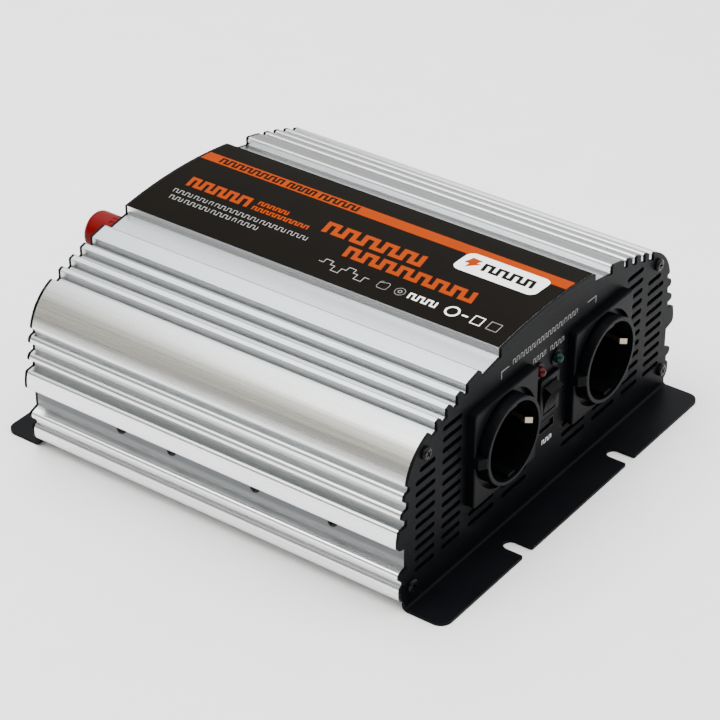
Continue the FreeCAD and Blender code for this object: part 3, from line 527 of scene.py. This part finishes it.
upper = along_label(meander(-11.0, -7.4, 2.2, [upper_steps], 0.0, 2.7, lean=-1.9))
print_piece("label_title_upper", upper, on_label, ORANGE)
lower_steps = [4.9, 4.8, 5.2, 4.8] + [5.0, 4.8] * 4 + [5.0, 5.4]
lower = along_label(meander(9.6, -19.0, -10.4, [lower_steps], 0.0, 2.5, lean=-1.7))
print_piece("label_title_lower", lower, on_label, ORANGE)
wave = [(-27.5, -3.0)]
for wave_start in (-5.5, -18.5):
    wave += [
        (-27.5, wave_start), (-24.8, wave_start), (-24.8, wave_start - 4.0), (-27.5, wave_start - 4.0),
        (-27.5, wave_start - 6.5), (-31.0, wave_start - 6.5), (-31.0, wave_start - 10.5),
        (-27.5, wave_start - 10.5),
    ]
wave.append((-27.5, -31.5))
print_piece("label_waveform", stroke(wave, 0.32), on_label, FAINT)
marks = stroke(rounded(-30.6, -25.4, -42.5, -37.0, 1.4) + [(-26.8, -37.0)], 0.25)
marks += ring(-28.0, -49.0, 2.45, 2.7)
marks += ring(-28.0, -49.0, 0.7, 1.1)
print_piece("label_small_marks", marks, on_label, GREY)
bold = along_label(meander(54.0, -30.2, -26.0, [[2.5, 2.3] * 3], 0.0, 0.95, lean=-0.5))
bold += ring(-28.0, -77.5, 2.7, 3.7)
bold += [rounded(-28.5, -27.5, -86.0, -82.6, 0.48)]
print_piece("label_bold_marks", bold, on_label, WHITE)
tail = outline_box(-30.8, -25.2, -93.5, -88.5, 0.5)
print_piece("label_tail_mark", tail, on_label, WHITE)
end = outline_box(-30.8, -25.2, -102.5, -97.0, 0.3)
print_piece("label_end_mark", end, on_label, GREY)

# Front plate print.  x across, z up, in millimetres.
caption = stroke([(-38.2, 83.1), (-38.2, 86.9), (-32.3, 86.9)], 0.34)
caption += stroke([(32.6, 87.4), (39.8, 87.4), (39.8, 83.7)], 0.34)
output = [[1.7, 1.4, 1.7], [1.6, 1.4] * 4, [1.6, 1.4] * 7, [1.8], [1.6, 1.4] * 2 + [1.6]]
caption += meander(-29.3, 86.1, 88.7, output, 1.2, 0.26)
print_piece("plate_caption", caption, on_plate, CAPTION)
notes = meander(-12.4, 77.4, 79.9, [[1.5, 1.4] * 3 + [1.5]], 0.0, 0.26)
notes += meander(1.9, 77.0, 79.5, [[1.6, 1.5] * 3 + [1.6]], 0.0, 0.26)
print_piece("lamp_captions", notes, on_plate, CAPTION)
symbol = meander(-2.2, 27.6, 30.0, [[1.5] * 5], 0.0, 0.42)
print_piece("port_symbol", symbol, on_plate, WHITE)


# ---------------------------------------------------------------------------
# Stage, light and camera
# ---------------------------------------------------------------------------
bpy.ops.mesh.primitive_plane_add(size=14, location=(0, 0, 0))
floor = bpy.context.object
floor.name = "stage_floor"
paper = plain_material("stage_paper", (0.86, 0.86, 0.86), (0.88, 0.88, 0.88), 0.85, grain=40.0, shine=0.1)
floor.data.materials.append(paper)

# Sky brightness from the floor up
SKY = (
    (0.0, (0.05, 0.048, 0.045)), (0.50, (0.17, 0.161, 0.140)), (0.76, (0.34, 0.333, 0.312)),
    (0.90, (0.78, 0.78, 0.78)), (0.96, (1.0, 1.0, 1.0)),
)
SKY_LEAN = 0.65
SKY_STRENGTH = 2.9
world = bpy.data.worlds.new("studio")
bpy.context.scene.world = world
world.use_nodes = True
tree = world.node_tree
background = tree.nodes["Background"]
coord = tree.nodes.new("ShaderNodeTexCoord")
split = tree.nodes.new("ShaderNodeSeparateXYZ")
ramp = tree.nodes.new("ShaderNodeValToRGB")
fill_ramp(ramp.color_ramp.elements, SKY)
# the bright part of the sky reaches lower on the +X side
toward_x = tree.nodes.new("ShaderNodeMath")
toward_x.operation = "MAXIMUM"
toward_x.inputs[1].default_value = 0.0
lifted = tree.nodes.new("ShaderNodeMath")
lifted.operation = "MULTIPLY_ADD"
lifted.inputs[1].default_value = SKY_LEAN
tree.links.new(coord.outputs["Generated"], split.inputs[0])
tree.links.new(split.outputs["X"], toward_x.inputs[0])
tree.links.new(toward_x.outputs[0], lifted.inputs[0])
tree.links.new(split.outputs["Z"], lifted.inputs[2])
tree.links.new(lifted.outputs[0], ramp.inputs[0])
tree.links.new(ramp.outputs[0], background.inputs["Color"])
background.inputs["Strength"].default_value = SKY_STRENGTH


def softbox(name, place, size_x, size_y, power):
    data = bpy.data.lights.new(name, "AREA")
    data.shape = "RECTANGLE"
    data.size = size_x
    data.size_y = size_y
    data.energy = power
    lamp = bpy.data.objects.new(name, data)
    bpy.context.collection.objects.link(lamp)
    lamp.location = place
    lamp.rotation_euler = (AIM - Vector(place)).to_track_quat("-Z", "Y").to_euler()


softbox("softbox_top", (-0.1, 0.4, 1.7), 1.8, 1.4, 42.0)
softbox("softbox_side", (-1.05, 0.5, 1.45), 1.2, 0.8, 12.0)
softbox("softbox_front", (0.6, -1.6, 1.1), 0.6, 0.4, 6.0)

camera_data = bpy.data.cameras.new("camera")
camera = bpy.data.objects.new("camera", camera_data)
bpy.context.collection.objects.link(camera)
bpy.context.scene.camera = camera
camera_data.sensor_width = 36.0
camera_data.lens = CAMERA_LENS
camera_data.clip_start = 0.05
camera_data.clip_end = 50.0
turn = Matrix((CAMERA_RIGHT, CAMERA_UP, CAMERA_BACK)).transposed().to_4x4()
camera.matrix_world = Matrix.Translation(CAMERA_PLACE) @ turn
